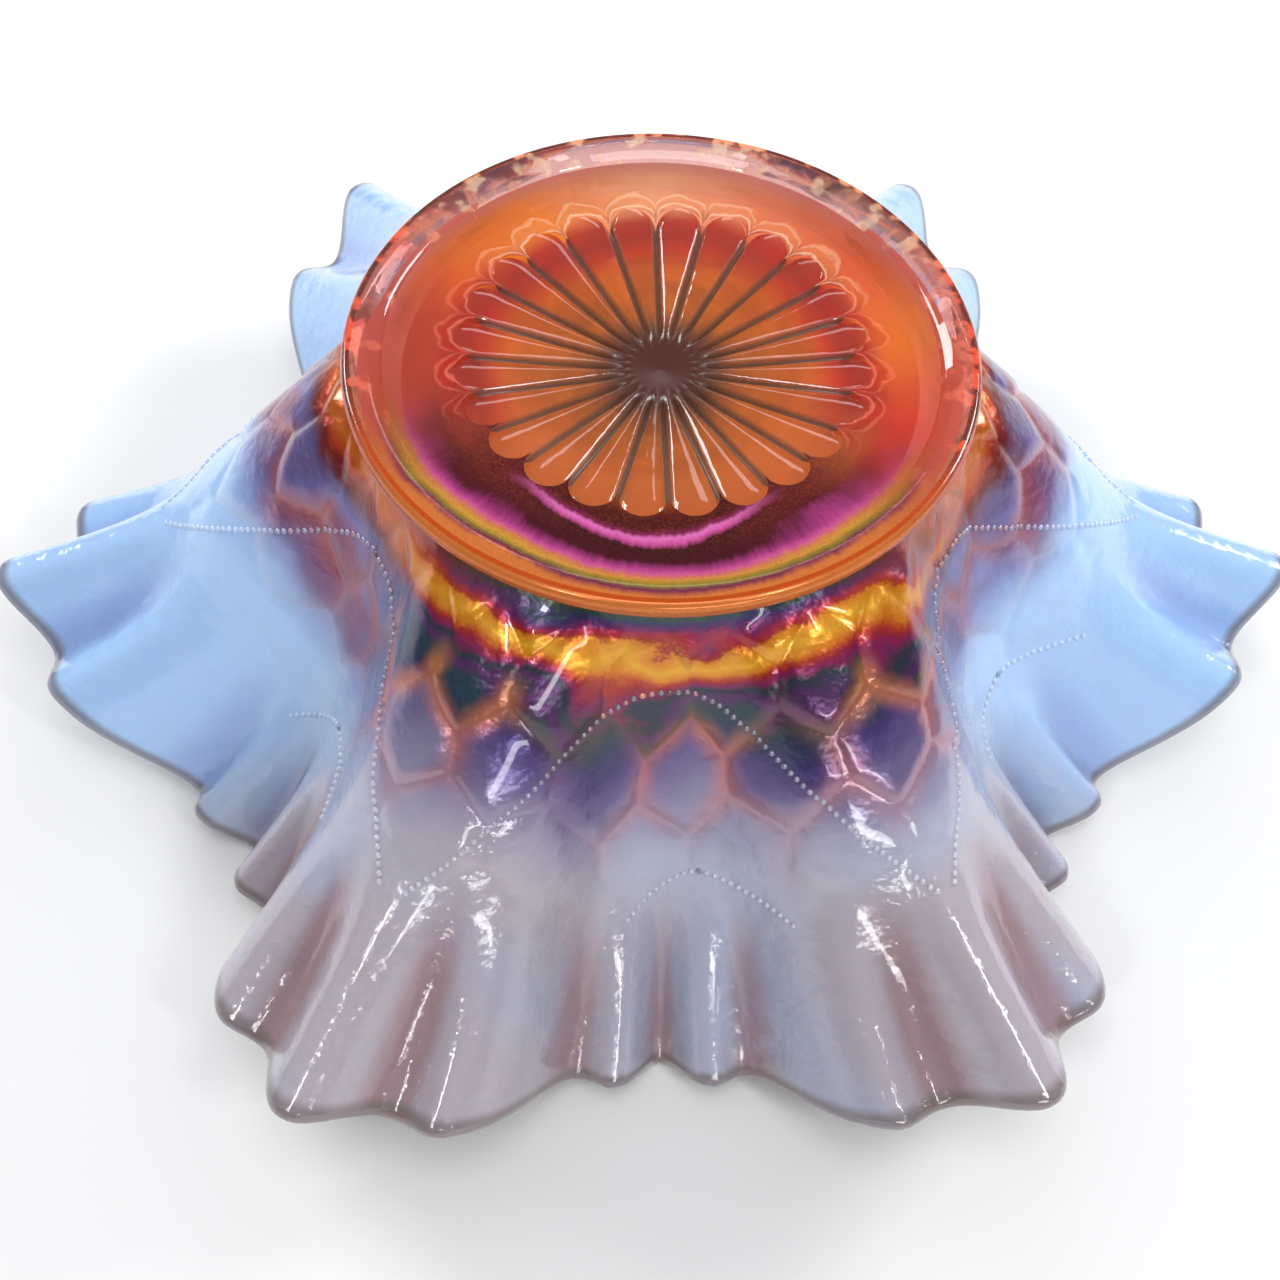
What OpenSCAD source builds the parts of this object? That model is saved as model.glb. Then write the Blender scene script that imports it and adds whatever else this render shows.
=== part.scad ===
// Pressed glass bowl with a six-lobed, crimped rim, turned over so that it rests on the
// folds of its rim with its collar foot facing up.
// The real bowl is one pressing. Its zones are separate solids that meet face to face.
// Origin: centre of the plane that the rim rests on. +Z runs up through the foot.

/* [Foot] */
// Outside diameter of the collar that the bowl stands on when it is in use
foot_d = 92; // [86:0.5:98]
// Width of the flat standing edge on top of the collar
standing_edge_w = 2.2; // [1.5:0.1:3]
// Height of the collar, from its standing edge down to where the wall starts
collar_h = 4.5; // [3.5:0.1:6]
// How far the collar's side draws in under its edge
collar_draw = 2.5; // [1.5:0.1:3.5]
// Depth of the flat ground inside the collar, below the standing edge
ground_depth = 1.4; // [1:0.1:2]
// Thickness of the glass under that ground
base_t = 6.6; // [5.5:0.1:8]

/* [Ray star] */
// Number of rays pressed into the base
rays = 24; // [16:2:28]
// Radius of the star, out to the round ends of its rays
star_r = 30; // [26:0.5:32]
// How far the star's middle lies below its rim
star_dish = 4; // [2:0.1:4.2]
// Width of the groove between two rays
groove_w = 1.3; // [0.8:0.1:1.4]
// Depth of that groove
groove_d = 0.9; // [0.4:0.1:1.1]
// Radius of the plain button where the rays meet
hub_r = 6; // [5.9:0.1:8]

/* [Wall] */
// Height of the whole bowl
bowl_h = 81.5; // [76:0.5:90]
// Thickness of the wall at the foot
wall_t = 5; // [4:0.1:6]
// Thickness of the wall at the rim
rim_t = 3.2; // [2.6:0.1:4]
// How far down its own profile the plain wall ends and the crimped rim starts
rim_start = 0.5; // [0.45:0.01:0.6]

/* [Rim] */
// Number of lobes that the rim is folded into
lobes = 6; // [5:1:8]
// Middle radius of the rim
rim_r = 90.4; // [86:0.2:96]
// How far a lobe reaches out, and a fold draws in, from that radius
lobe_reach = 12.8; // [8:0.2:14]
// How far a lobe lifts, and a fold drops, from the rim's middle height
lobe_lift = 10.4; // [6:0.2:12]
// Number of crimps pinched into each lobe, always odd
lobe_crimps = 5; // [3:2:5]
// How far a crimp pushes the edge outwards and pulls it inwards
crimp_reach = 3.2; // [1:0.1:4]
// How far a crimp lifts and drops the edge
crimp_lift = 3; // [1:0.1:3.6]

/* [Hidden] */
$fn = 120;

// Colours of the zones, from the fired foot to the opal rim
amber = [0.85, 0.47, 0.17];
ember = [0.78, 0.30, 0.16];
umber = [0.35, 0.20, 0.12];
marigold = [0.74, 0.40, 0.42];
opal = [0.72, 0.80, 0.90];

// Heights and radii of the base
foot_r = foot_d / 2;
ground_z = bowl_h - ground_depth;
floor_z = ground_z - base_t;
wall_z = bowl_h - collar_h;
wall_r = foot_r - collar_draw;
floor_r = wall_r - 6;
collar_in = foot_r - 6;
edge_round = 1.6;
star_edge_z = ground_z + 0.3;
hub_z = star_edge_z - star_dish;
ray_pitch = 360 / rays;

// Steps of the wall's mesh: around the bowl, and down each zone
around = 240;
wall_rows = 7;
rim_rows = 8;
edge_arc = 4;

// Slope of the wall below the horizontal, and the pull of that slope on the curve
lobe_top = [39, 29];
fold_top = [76, 34];
lobe_end = [25, 35];
fold_end = [45, 24];

// ---- shape of the wall ----

function lerp(a, b, x) = a + (b - a) * x;
function clamp(x) = min(1, max(0, x));
function smooth(x) = x * x * (3 - 2 * x);
function unit(v) = v / norm(v);

// 1 along the middle of a lobe and 0 along a fold: soft at the rim, boxy above it
function wave(a) = (1 + cos(lobes * a)) / 2;
function rim_lobe(a) = lerp(wave(a), smooth(wave(a)), 0.25);
function wall_lobe(a) = smooth(wave(a));

// 1 on a crimp's crest and -1 in its furrow, with crests wider than furrows, gentler in a fold
function crimp_angle(a) =
    lobes * lobe_crimps * (a - 1.5 * sin(lobes * a) + 0.9 * sin(2 * lobes * a));
function crimp(a) = lerp(0.8, 1, wave(a)) * (1 - 2 * pow((1 - cos(crimp_angle(a))) / 2, 1.3));

// A point on a cubic curve through p[0] and p[3], drawn towards p[1] and p[2]
function curve(p, t) =
    pow(1 - t, 3) * p[0] + 3 * t * pow(1 - t, 2) * p[1]
    + 3 * t * t * (1 - t) * p[2] + pow(t, 3) * p[3];
function pull(slope_and_length) =
    slope_and_length[1] * [cos(slope_and_length[0]), -sin(slope_and_length[0])];

// The wall's outer profile at one angle, from the foot (t = 0) to the rim (t = 1)
function profile(a, t, lift) =
    let (top = [wall_r, wall_z],
         end = [lerp(rim_r - lobe_reach, rim_r + lobe_reach, rim_lobe(a)),
                lift + lerp(-lobe_lift, lobe_lift, rim_lobe(a))],
         top_pull = pull(lerp(fold_top, lobe_top, wall_lobe(a))),
         end_pull = pull(lerp(fold_end, lobe_end, wall_lobe(a))))
    curve([top, top + top_pull, end - end_pull, end], t);

function outer(a, t, lift) =
    let (q = profile(a, t, lift)
             + smooth(clamp((t - 0.5) / 0.5)) * crimp(a) * [crimp_reach, crimp_lift])
    [q[0] * cos(a), q[0] * sin(a), q[1]];

// Directions at a point of the outer face: along the rim, down the wall and outwards
function along(a, t, lift) = unit(outer(a + 0.2, t, lift) - outer(a - 0.2, t, lift));
function down(a, t, lift) =
    unit(outer(a, min(1, t + 0.01), lift) - outer(a, min(1, t + 0.01) - 0.02, lift));
function outwards(a, t, lift) = unit(cross(down(a, t, lift), along(a, t, lift)));

// The inner face, which leaves the base along the edge of the bowl's floor
function inner(a, t, lift) =
    let (foot_side = [(floor_r - wall_r) * cos(a), (floor_r - wall_r) * sin(a), floor_z - wall_z],
         wall_side = -lerp(wall_t, rim_t, t) * outwards(a, t, lift))
    outer(a, t, lift) + lerp(foot_side, wall_side, smooth(clamp(t / 0.25)));

// The rim's half-round edge, from the outer face to the inner face
function edge(a, lift) =
    let (n = outwards(a, 1, lift), e = unit(cross(along(a, 1, lift), n)),
         middle = outer(a, 1, lift) - n * rim_t / 2)
    [for (k = [1 : edge_arc - 1])
        middle + rim_t / 2 * (cos(180 * k / edge_arc) * n + sin(180 * k / edge_arc) * e)];

// Height of the rim's middle at which its lowest folds just touch z = 0
rim_lift = -min([for (k = [0 : around / lobes]) for (q = edge(k * 360 / around, 0)) q[2]]);

// ---- meshes ----

function ring_angle(j) = j * 360 / around;

// A closed skin from a list of rings: each ring joins the next, and the last the first
module skin(rings) {
    n = len(rings);
    points = [for (ring = rings) each ring];
    faces = [for (k = [0 : n - 1]) for (j = [0 : around - 1])
        let (a = k * around + j, b = k * around + (j + 1) % around,
             c = ((k + 1) % n) * around + j, d = ((k + 1) % n) * around + (j + 1) % around)
        each [[a, b, d], [a, d, c]]];
    polyhedron(points, faces, convexity = 10);
}

// Rings down the outer face between two places on the profile, or up the inner face
function outer_rings(t0, t1, rows) = [for (i = [0 : rows])
    [for (j = [0 : around - 1]) outer(ring_angle(j), lerp(t0, t1, i / rows), rim_lift)]];
function inner_rings(t0, t1, rows) = [for (i = [rows : -1 : 0])
    [for (j = [0 : around - 1]) inner(ring_angle(j), lerp(t0, t1, i / rows), rim_lift)]];
function edge_rings() =
    let (edges = [for (j = [0 : around - 1]) edge(ring_angle(j), rim_lift)])
    [for (k = [0 : edge_arc - 2]) [for (j = [0 : around - 1]) edges[j][k]]];

// ---- zones of the bowl ----

// Raised ring that the bowl stands on, its section drawn from the inside round to the wall
module collar_foot() {
    seam = (collar_in - floor_r) / (wall_r - floor_r);
    color(amber) rotate_extrude() polygon(concat(
        [[collar_in, lerp(floor_z, wall_z, seam)], [collar_in, ground_z]],
        [[foot_r - edge_round - standing_edge_w, bowl_h]],
        [for (k = [0 : 8]) [foot_r - edge_round * (1 - sin(k * 11.25)),
                            bowl_h - edge_round * (1 - cos(k * 11.25))]],
        [[foot_r - 0.4, bowl_h - 0.65 * collar_h], [wall_r, wall_z]]));
}

// Outline of the star: a disc whose edge is one round end for each ray
module star_outline() {
    ray_end_r = star_r / (1 + 1 / sin(ray_pitch / 2));
    centre_r = star_r - ray_end_r;
    union() {
        circle(centre_r);
        for (k = [0 : rays - 1])
            rotate((k + 0.5) * ray_pitch) translate([centre_r, 0]) circle(ray_end_r, $fn = 24);
    }
}

// Flat ground between the collar and the star, with the bowl's floor on its other face
module marie() {
    seam = (collar_in - floor_r) / (wall_r - floor_r);
    color(ember) difference() {
        rotate_extrude() polygon([[0, floor_z], [floor_r, floor_z],
            [collar_in, lerp(floor_z, wall_z, seam)], [collar_in, ground_z], [0, ground_z]]);
        translate([0, 0, floor_z - 1]) linear_extrude(base_t + 2) star_outline();
    }
}

// V-shaped groove that runs out from the hub along the dished face of the star
module ray_groove() {
    slope = atan(star_dish / star_r);
    rotate([0, -slope, 0]) translate([hub_r, 0, 0]) rotate([90, 0, 90])
        linear_extrude(star_r)
            polygon([[-groove_w / 2, 0], [0, -groove_d], [groove_w / 2, 0], [0, groove_w]]);
}

// Dished star of rounded rays with a groove between each two
module ray_star() {
    color(amber) difference() {
        intersection() {
            rotate_extrude() polygon([[hub_r, floor_z], [star_r + 1, floor_z],
                [star_r + 1, star_edge_z + star_dish / star_r],
                [hub_r, lerp(hub_z, star_edge_z, hub_r / star_r)]]);
            translate([0, 0, floor_z - 1]) linear_extrude(base_t + 3) star_outline();
        }
        for (k = [0 : rays - 1])
            rotate(k * ray_pitch) translate([0, 0, hub_z]) ray_groove();
    }
}

// Plain round button in the middle of the star
module star_hub() {
    color(umber) rotate_extrude() polygon([[0, floor_z], [hub_r, floor_z],
        [hub_r, lerp(hub_z, star_edge_z, hub_r / star_r)], [0, hub_z + 0.4]]);
}

// Folded wall that carries the scale pattern, from the collar to the first crimps
module scale_wall() {
    color(marigold) skin(concat(
        outer_rings(0, rim_start, wall_rows), inner_rings(0, rim_start, wall_rows)));
}

// Flared, crimped edge of milky glass
module crimped_rim() {
    color(opal) skin(concat(
        outer_rings(rim_start, 1, rim_rows), edge_rings(), inner_rings(rim_start, 1, rim_rows)));
}

collar_foot();
marie();
ray_star();
star_hub();
scale_wall();
crimped_rim();
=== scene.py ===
# %% [markdown]
# # A ruffled carnival glass bowl
#
# The real bowl is pressed from peach opalescent glass: clear marigold glass that turns milky
# where it cooled slowly, at the rim. While it was hot its rim was folded into six lobes and
# crimped, and a sprayed metal salt gave it a rainbow film. Here it lies upside down, resting on
# its rim with the foot facing up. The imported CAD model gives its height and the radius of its
# foot. The other sizes repeat those that the CAD was made with, so that the finer pieces made
# here lie in the same places.

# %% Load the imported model
import math

import bmesh
import bpy
import numpy as np
from mathutils import Matrix, Vector


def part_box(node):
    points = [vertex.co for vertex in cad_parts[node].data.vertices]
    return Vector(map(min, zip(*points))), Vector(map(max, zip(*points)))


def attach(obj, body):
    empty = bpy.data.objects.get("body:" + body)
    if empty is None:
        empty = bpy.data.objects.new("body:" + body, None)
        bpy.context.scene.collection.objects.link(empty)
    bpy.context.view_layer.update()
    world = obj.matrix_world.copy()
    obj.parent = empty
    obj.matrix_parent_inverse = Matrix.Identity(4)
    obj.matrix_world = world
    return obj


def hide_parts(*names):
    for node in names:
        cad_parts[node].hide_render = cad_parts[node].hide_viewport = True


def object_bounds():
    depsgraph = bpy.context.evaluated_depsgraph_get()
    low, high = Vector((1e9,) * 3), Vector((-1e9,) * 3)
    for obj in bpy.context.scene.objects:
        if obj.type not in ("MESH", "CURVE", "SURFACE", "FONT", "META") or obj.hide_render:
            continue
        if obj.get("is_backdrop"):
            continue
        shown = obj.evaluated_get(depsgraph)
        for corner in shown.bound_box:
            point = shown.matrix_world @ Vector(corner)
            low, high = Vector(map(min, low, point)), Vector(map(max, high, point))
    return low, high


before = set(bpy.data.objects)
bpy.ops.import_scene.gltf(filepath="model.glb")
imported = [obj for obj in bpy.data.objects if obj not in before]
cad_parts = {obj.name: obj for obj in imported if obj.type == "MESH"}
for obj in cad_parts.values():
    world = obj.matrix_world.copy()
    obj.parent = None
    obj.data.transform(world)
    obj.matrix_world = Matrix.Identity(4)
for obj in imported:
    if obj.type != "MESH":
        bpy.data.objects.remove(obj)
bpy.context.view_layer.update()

MM = 0.001
foot_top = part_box("collar_foot")[1]
bowl_h = foot_top[2] / MM
foot_r = foot_top[0] / MM

# %% [markdown]
# ## Sizes of the glass
#
# All sizes in the modelling cells are millimetres. The base is a collar round a flat ground, and
# the wall leaves it a little inside the collar's edge. The base and the top of the wall are
# thick, because a mould fills from its middle, and the glass thins to the rim.

# %% Base, wall and rim sizes
collar_h = 4.5        # the collar, from its standing edge down to the wall
collar_draw = 2.5     # its side slopes in by this much on the way down to the wall
ground_depth = 1.4    # from the standing edge down to the ground
base_t = 6.6          # from the ground down to the fired floor of the bowl
floor_margin = 6.0    # from the outer face in to the floor, and from the foot's edge to the ground
wall_t = 5.0          # thickness of the wall near the foot
rim_t = 3.2           # thickness of the rim

ground_z = bowl_h - ground_depth
floor_z = ground_z - base_t
wall_z = bowl_h - collar_h
wall_r = foot_r - collar_draw
floor_r = wall_r - floor_margin
collar_in = foot_r - floor_margin
print(f"foot radius {foot_r:.1f} mm, ground at {ground_z:.1f} mm, floor at {floor_z:.1f} mm")

# %% [markdown]
# ## The shape of the folded wall
#
# A ruffled wall has no simple primitive. One way is to sculpt it, another is to bend a plain
# bowl with lattices. Here the wall is a formula, so that its real sizes stay readable: a curved
# profile runs from the foot (t = 0) to the rim (t = 1), and that profile changes with the angle
# a, flaring on the lobes and dropping steeply in the folds. The crimps are a wave added near
# the edge.

# %% Shape of the folded wall
lobes = 6
rim_r = 90.4               # mean radius of the rim
lobe_reach = 12.8          # a lobe reaches this far past it, and a fold stops this far short
lobe_lift = 10.4           # a lobe's edge is this much above the rim's middle, a fold's below
top_slopes = (76, 39)      # degrees that the profile falls at the foot, in a fold and on a lobe
top_pulls = (34, 29)       # how strongly the curve keeps to that slope, in mm
end_slopes = (45, 25)      # the same two at the rim
end_pulls = (24, 35)
lobe_fullness = 0.25       # above 0, lobes and folds are blunter than a plain wave
rim_start = 0.5            # the crimped rim begins at this t
lobe_crimps = 5
crimp_reach = 3.2
crimp_lift = 3.0
fold_crimp = 0.8           # a crimp in a fold is this much of a full one
crest_width = 1.3          # above 1, the crests are wider than the furrows


def lerp(a, b, x):
    return a + (b - a) * x


def clamp(x):
    return np.clip(x, 0, 1)


def smooth(x):
    x = clamp(x)
    return x * x * (3 - 2 * x)


def wave(a):
    """1 along the middle of a lobe and 0 along a fold."""
    return (1 + np.cos(lobes * a)) / 2


def crimp(a):
    """1 on the crest of a crimp and -1 in its furrow. They drift a degree or two from even spacing."""
    drift = np.radians(0.9 * np.sin(2 * lobes * a) - 1.5 * np.sin(lobes * a))
    turn = lobes * lobe_crimps * (a + drift)
    return lerp(fold_crimp, 1, wave(a)) * (1 - 2 * ((1 - np.cos(turn)) / 2) ** crest_width)


def profile(a, t, lift):
    """Radius and height of the outer face before it is crimped: a cubic curve."""
    soft = smooth(wave(a))
    lobe = lerp(wave(a), soft, lobe_fullness)
    top_slope, top_pull = np.radians(lerp(*top_slopes, soft)), lerp(*top_pulls, soft)
    end_slope, end_pull = np.radians(lerp(*end_slopes, soft)), lerp(*end_pulls, soft)
    end_r = rim_r + lobe_reach * (2 * lobe - 1)
    end_z = lift + lobe_lift * (2 * lobe - 1)
    radii = (wall_r, wall_r + top_pull * np.cos(top_slope), end_r - end_pull * np.cos(end_slope), end_r)
    heights = (wall_z, wall_z - top_pull * np.sin(top_slope), end_z + end_pull * np.sin(end_slope), end_z)
    weights = ((1 - t) ** 3, 3 * t * (1 - t) ** 2, 3 * t * t * (1 - t), t ** 3)
    return (sum(w * r for w, r in zip(weights, radii)), sum(w * z for w, z in zip(weights, heights)))


def outer(a, t, lift):
    """A point of the outer face."""
    r, z = profile(a, t, lift)
    push = smooth((t - rim_start) / (1 - rim_start)) * crimp(a)
    r, z = r + crimp_reach * push, z + crimp_lift * push
    return np.stack([r * np.cos(a), r * np.sin(a), z], -1)


# %% [markdown]
# ### The edge, and how high the rim lies
#
# The edge of the glass was rounded by the fire, so it is a half circle from the outer face to the
# inner one. It needs the direction along the rim and the direction out of the glass, which come
# from the outer face itself by stepping a little to each side. The lowest point of the edge must
# touch the table, so the edge is worked out once with no lift, and the lift is what it lacks.

# %% Rounded edge and rim height
angle_step = np.radians(0.2)    # the small steps that a direction is measured over
t_step = 0.01


def unit(v):
    return v / np.linalg.norm(v, axis=-1, keepdims=True)


def directions(a, t, lift):
    """Unit vectors along the rim and out of the glass, at a point of the outer face."""
    along = unit(outer(a + angle_step, t, lift) - outer(a - angle_step, t, lift))
    near = np.minimum(1, t + t_step)
    down = unit(outer(a, near, lift) - outer(a, near - 2 * t_step, lift))
    return along, unit(np.cross(down, along))


def edge(a, turn, lift):
    """The half-round edge, as turn goes from 0 on the outer face to pi on the inner face."""
    one = np.ones_like(a)
    along, out = directions(a, one, lift)
    beyond = unit(np.cross(along, out))
    middle = outer(a, one, lift) - out * rim_t / 2
    turn = turn[..., None]
    return middle + rim_t / 2 * (np.cos(turn) * out + np.sin(turn) * beyond)


spots = np.radians(np.linspace(0, 60, 241))
rim_lift = -min(edge(spots, np.full_like(spots, k * np.pi / 8), 0.0)[:, 2].min() for k in range(1, 8))
print(f"the rim's middle line lies {rim_lift:.1f} mm above the table")

# %% [markdown]
# ## The scales
#
# The mould was cut with rows of long hexagonal scales, offset like bricks, 28 to a row. They
# could be a bump map, but a scale is over 12 mm wide and catches the light with its whole slope,
# so they are real relief. For every point of the wall this finds the scale it lies on and the
# distance to that scale's border. The same distance later colours the borders. Each scale also
# gets a steady number of its own, the usual sine hash, so that it can differ from its neighbours.

# %% Scale pattern
scales_round = 28
scale_turn = 0.23       # turns the whole pattern, in scales
scale_w = 12.5
scale_row = 0.17        # from one row to the next, in t
row_h = 8.8             # the same step in mm
first_row = 0.15        # t of the middle of a row
scale_side = 0.25       # half the length of a scale's upright side, in rows
scale_sway = 0.10       # how far slow waves bend the pattern, in scales and rows
scale_relief = 0.75     # how far a scale stands out of the wall
scale_slope = 2.6       # width of the rounded slope round a scale


def scales(a, t):
    """Distance to the border in mm, the scale's own number, and how far down the scale it is."""
    across = a * scales_round / (2 * np.pi) + scale_turn
    across = across + scale_sway * np.sin(5 * a + 9 * t) * np.sin(2 * a + 14 * t)
    rows = (t - first_row) / scale_row + scale_sway * np.sin(7 * a + 1) * np.sin(3 * a + 8 * t)
    best, tone, place = np.full_like(t, -9.0), np.zeros_like(t), np.zeros_like(t)
    for row in (np.floor(rows), np.floor(rows) + 1):
        shift = 0.5 * np.mod(row, 2)
        column = np.round(across - shift)
        x = np.abs(across - shift - column)
        y = rows - row
        sides = scale_w * (0.5 - x)
        ends = row_h * (1 - scale_side - 2 * (1 - 2 * scale_side) * x - np.abs(y))
        gap = np.minimum(sides, ends)
        nearer = gap > best
        number = np.mod(column, scales_round) * 12.9898 + row * 78.233
        best = np.where(nearer, gap, best)
        tone = np.where(nearer, np.mod(np.sin(number) * 43758.5453, 1.0), tone)
        place = np.where(nearer, y, place)
    return best, tone, place


def relief(a, t):
    """How far the scales stand out of the wall, in mm."""
    gap, tone, place = scales(a, t)
    dome = 1 - (1 - clamp(gap / scale_slope)) ** 2
    # A scale is thin at its top and full at its lower lip
    lip = 0.35 + 0.65 * smooth((place + 0.8) / 1.5)
    # The pattern starts just under the collar and has died away before the rim
    fade = smooth((t - 0.02) / 0.05) * (1 - smooth((t - 0.46) / 0.16))
    return scale_relief * dome * lip * fade


sample_relief = relief(spots, np.full_like(spots, 0.3))
print(f"the scales stand out by up to {sample_relief.max():.2f} mm at t = 0.3")

# %% [markdown]
# ## A solid from a spun outline
#
# Blender's spin turns an outline into a solid of revolution. The folded wall isn't one, but it is
# one in the formula's own terms: t, the angle and the depth into the glass. So the outline is a
# plain rectangle of t by depth, spun once, and then each point is moved to where the formula
# puts it. The mesh gets its loops from an operator and its shape from the formula. One part is
# spun finely and then copied round, which is much quicker than spinning every step.

# %% Spin an outline
STEPS = 720
PARTS = 12
FULL_TURN = 2 * math.pi


def spin_outline(corners, cuts, steps=STEPS):
    """Closed solid of revolution from an outline, with each side of it cut into equal rows."""
    bm = bmesh.new()
    verts = [bm.verts.new((x, 0, z)) for x, z in corners]
    sides = [bm.edges.new((v, verts[(k + 1) % len(verts)])) for k, v in enumerate(verts)]
    for side, count in zip(sides, cuts):
        if count > 1:
            bmesh.ops.subdivide_edges(bm, edges=[side], cuts=count - 1)
    axis = {"cent": (0, 0, 0), "axis": (0, 0, 1), "dvec": (0, 0, 0)}
    bmesh.ops.spin(bm, geom=bm.verts[:] + bm.edges[:], angle=FULL_TURN / PARTS, steps=steps // PARTS, **axis)
    bmesh.ops.spin(bm, geom=bm.verts[:] + bm.edges[:] + bm.faces[:], angle=FULL_TURN * (1 - 1 / PARTS),
                   steps=PARTS - 1, use_duplicate=True, **axis)
    bmesh.ops.remove_doubles(bm, verts=bm.verts, dist=1e-4)
    bmesh.ops.recalc_face_normals(bm, faces=bm.faces)
    return bm


def finish_mesh(bm, name, sharp=50):
    """Turns a bmesh into an object with smooth shading that stays sharp over steep edges."""
    mesh = bpy.data.meshes.new(name)
    bm.to_mesh(mesh)
    bm.free()
    mesh.shade_smooth()
    mesh.set_sharp_from_angle(angle=math.radians(sharp))
    piece = bpy.data.objects.new(name, mesh)
    bpy.context.scene.collection.objects.link(piece)
    return piece


# %% [markdown]
# ### Reading, moving and marking a mesh
#
# A wall has about 80,000 vertices, so its points are read and written as whole arrays, which is
# far quicker than one vertex at a time. A number can be kept on every vertex as an attribute for
# a material to read. Faces are marked while the mesh is still plain, because there the test for
# a joint face is simple.

# %% Mesh helpers
def read_points(mesh):
    flat = np.empty(len(mesh.vertices) * 3, dtype=np.float32)
    mesh.vertices.foreach_get("co", flat)
    return flat.reshape(-1, 3).astype(float)


def write_points(mesh, points):
    """Moves the vertices to points given in mm."""
    mesh.vertices.foreach_set("co", (points * MM).astype(np.float32).ravel())
    mesh.update()


def keep(mesh, name, values):
    """Stores one number for each vertex, for a material to read."""
    field = mesh.attributes.new(name, "FLOAT", "POINT")
    field.data.foreach_set("value", np.asarray(values, dtype=np.float32))


def mark_faces(mesh, test):
    """Gives material slot 1 to the faces whose middle passes a test of its radius and height."""
    middles = np.empty(len(mesh.polygons) * 3, dtype=np.float32)
    mesh.polygons.foreach_get("center", middles)
    middles = middles.reshape(-1, 3)
    picked = test(np.hypot(middles[:, 0], middles[:, 1]), middles[:, 2])
    mesh.polygons.foreach_set("material_index", picked.astype(np.int32))


# %% [markdown]
# ## The wall and the crimped rim
#
# On the real bowl they are one sheet of glass, in two zones: the patterned wall near the foot and
# the crimped, milky rim. They could be one piece, but two pieces match the zones of the CAD. They
# meet on the same loop of the formula, so no seam shows. Each keeps how far down the wall every
# vertex is, and where it lies on its scale and its crimp, for the fired film and the milk.

# %% Wall and crimped rim
inner_blend = 0.25    # by this t the inner face has left the floor and follows the wall


def glass_shell(name, t0, t1, cuts):
    """One zone of the wall: outer face at depth 0, inner face at depth 1."""
    piece = finish_mesh(spin_outline([(1 + t0, 0), (1 + t1, 0), (1 + t1, -1), (1 + t0, -1)], cuts), name)
    mesh = piece.data
    mark_faces(mesh, lambda x, z: ((x - 1 - t0 < 1e-3) & (t0 > 0)) | ((1 + t1 - x < 1e-3) & (t1 < 1)))
    spun = read_points(mesh)
    a = np.arctan2(spun[:, 1], spun[:, 0])
    t = np.clip(np.hypot(spun[:, 0], spun[:, 1]) - 1, t0, t1)
    depth = np.clip(-spun[:, 2], 0, 1)
    out = directions(a, t, rim_lift)[1]
    face = outer(a, t, rim_lift)
    foot_side = np.stack([-floor_margin * np.cos(a), -floor_margin * np.sin(a),
                          np.full_like(a, floor_z - wall_z)], -1)
    wall_side = -lerp(wall_t, rim_t, t)[:, None] * out
    inner = face + lerp(foot_side, wall_side, smooth(t / inner_blend)[:, None])
    raised = face + relief(a, t)[:, None] * out
    points = lerp(raised, inner, depth[:, None])
    rounded = (t > 1 - 1e-4) & (depth > 0) & (depth < 1)
    points[rounded] = edge(a[rounded], depth[rounded] * np.pi, rim_lift)
    write_points(mesh, points)
    gap, tone, place = scales(a, t)
    furrow = -crimp(a) * smooth((t - 0.5) / 0.35)
    for field, values in (("down", t), ("scale_gap", gap), ("scale_tone", tone), ("scale_place", place),
                          ("furrow", furrow)):
        keep(mesh, field, values)
    return piece


wall = glass_shell("scale_wall_glass", 0, rim_start, (76, 6, 22, 8))
rim = glass_shell("crimped_rim_glass", rim_start, 1, (54, 8, 30, 4))
print("wall faces", len(wall.data.polygons), "rim faces", len(rim.data.polygons))

# %% [markdown]
# ## The collar
#
# The collar is the ring that the bowl stands on in use. It is a true solid of revolution, so its
# section is spun and its edges are bevelled, as a mould maker would round them. It meets the
# ground inside it and the wall under it, and those faces are marked as joints.

# %% Collar
standing_edge_w = 2.2    # the flat part of the standing edge
edge_round = 1.6         # radius of the collar's outer edge
shoulder_r = foot_r - 0.4
shoulder_z = bowl_h - 0.65 * collar_h
inner_edge_r = foot_r - edge_round - standing_edge_w
seam_z = lerp(floor_z, wall_z, (collar_in - floor_r) / (wall_r - floor_r))
touch = 0.02             # a face this near a joint lies on it


def joint_height(r):
    """Height of the slanted joint between the base and the wall, at a radius."""
    return lerp(seam_z, wall_z, (r - collar_in) / (wall_r - collar_in))


def bevel_ring(bm, radius, height, offset, segments):
    """Rounds the ring of edges at one radius and height."""
    def on_ring(v):
        return abs(math.hypot(v.co.x, v.co.y) - radius) < touch and abs(v.co.z - height) < touch
    ring = [e for e in bm.edges if on_ring(e.verts[0]) and on_ring(e.verts[1])]
    bmesh.ops.bevel(bm, geom=ring, offset=offset, offset_type="OFFSET", affect="EDGES",
                    segments=segments, profile=0.5, material=-1)


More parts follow.
